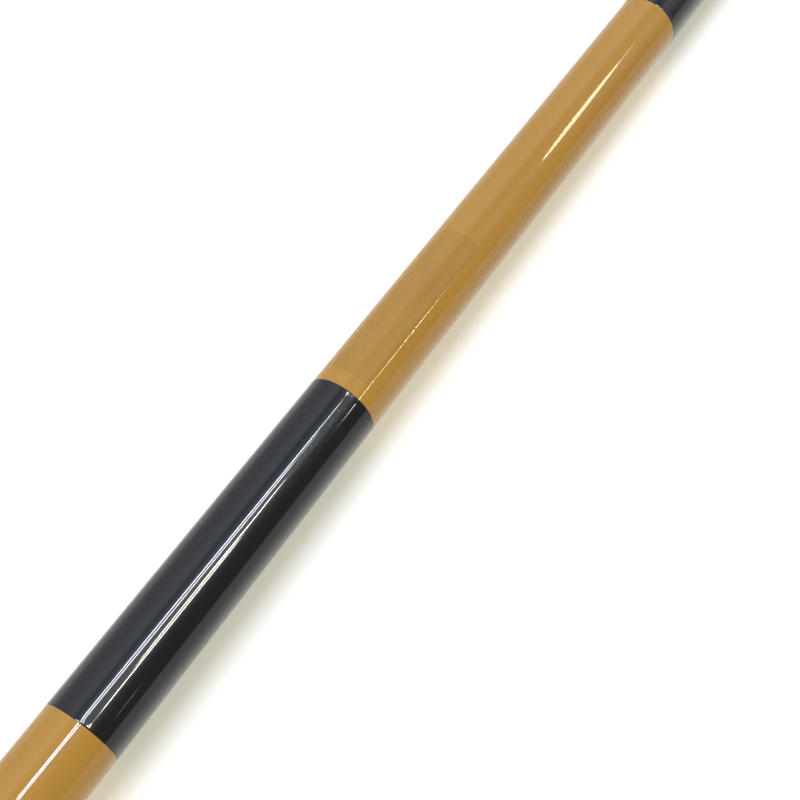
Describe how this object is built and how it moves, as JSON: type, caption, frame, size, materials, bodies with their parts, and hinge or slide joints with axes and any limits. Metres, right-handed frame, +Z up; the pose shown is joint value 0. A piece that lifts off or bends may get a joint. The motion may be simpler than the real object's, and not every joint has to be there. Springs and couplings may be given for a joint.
{
  "type": "telescopic herabuna rod",
  "caption": "Telescopic herabuna rod with banded lacquered butt, cord-wound grip, screwed butt cap, nested tapered sections and a rotating tip eye.",
  "frame": {"origin": "centre of the footprint, on the surface that the closed rod lies on", "axes": "+X from the butt cap to the mouth (the rod's own axis dips 0.59 degrees to the mouth), +Z up"},
  "size_m": [0.675, 0.0208, 0.0208],
  "materials": {
    "ochre_lacquer": "carbon and glass tube under ochre lacquer, clear gloss",
    "black_lacquer": "silk winding under polished black lacquer",
    "clear_film": "clear gloss film",
    "grip_foam": "hard shaped foam",
    "cotton_cord": "braided cotton cord, close wound",
    "dark_lacquer": "dark brown lacquer",
    "anodised_aluminium": "dark anodised, turned",
    "turned_aluminium": "turned, satin",
    "stainless_steel": "turned and bent wire, bright satin",
    "soft_rubber": "matt black rubber"
  },
  "bodies": {
    "butt": {"butt_blank": "ochre_lacquer", "butt_mouth_winding": "black_lacquer", "wound_band_1": "black_lacquer", "wound_band_2": "black_lacquer", "wound_band_3": "black_lacquer", "label_film": "clear_film", "grip_core": "grip_foam", "grip_winding": "cotton_cord", "grip_rear_collar": "dark_lacquer", "grip_front_collar": "dark_lacquer", "butt_insert": "turned_aluminium"},
    "cap_seal": {"butt_cap_seal": "soft_rubber"},
    "butt_cap": {"butt_cap": "anodised_aluminium", "butt_cap_cushion": "soft_rubber"},
    "third_section": {"third_section_blank": "ochre_lacquer", "third_section_mouth_winding": "black_lacquer"},
    "second_section": {"second_section_blank": "ochre_lacquer", "second_section_mouth_winding": "black_lacquer"},
    "tip": {"tip_blank": "ochre_lacquer", "tip_ferrule": "stainless_steel"},
    "tip_eye": {"tip_eye": "stainless_steel"}
  },
  "joints": [
    {"name": "cap_travel", "type": "slide", "parent": "butt", "child": "cap_seal", "axis": [-0.9999, 0, 0.0103], "range_m": [0, 0.009]},
    {"name": "cap_turn", "type": "hinge", "parent": "cap_seal", "child": "butt_cap", "pos_m": [-0.33746, 0, 0.01131], "axis": [-0.9999, 0, 0.0103], "range_deg": [0, 2160]},
    {"name": "third_section_slide", "type": "slide", "parent": "butt", "child": "third_section", "axis": [0.9999, 0, -0.0103], "range_m": [0, 0.5784]},
    {"name": "second_section_slide", "type": "slide", "parent": "third_section", "child": "second_section", "axis": [0.9999, 0, -0.0103], "range_m": [0, 0.5794]},
    {"name": "tip_slide", "type": "slide", "parent": "second_section", "child": "tip", "axis": [0.9999, 0, -0.0103], "range_m": [0, 0.5804]},
    {"name": "tip_eye_turn", "type": "hinge", "parent": "tip", "child": "tip_eye", "pos_m": [0.32006, 0, 0.00452], "axis": [0.9999, 0, -0.0103], "continuous": true}
  ],
  "couplings": [
    {"joint": "cap_travel", "follows": "cap_turn", "m_per_rad": 0.00023873}
  ]
}
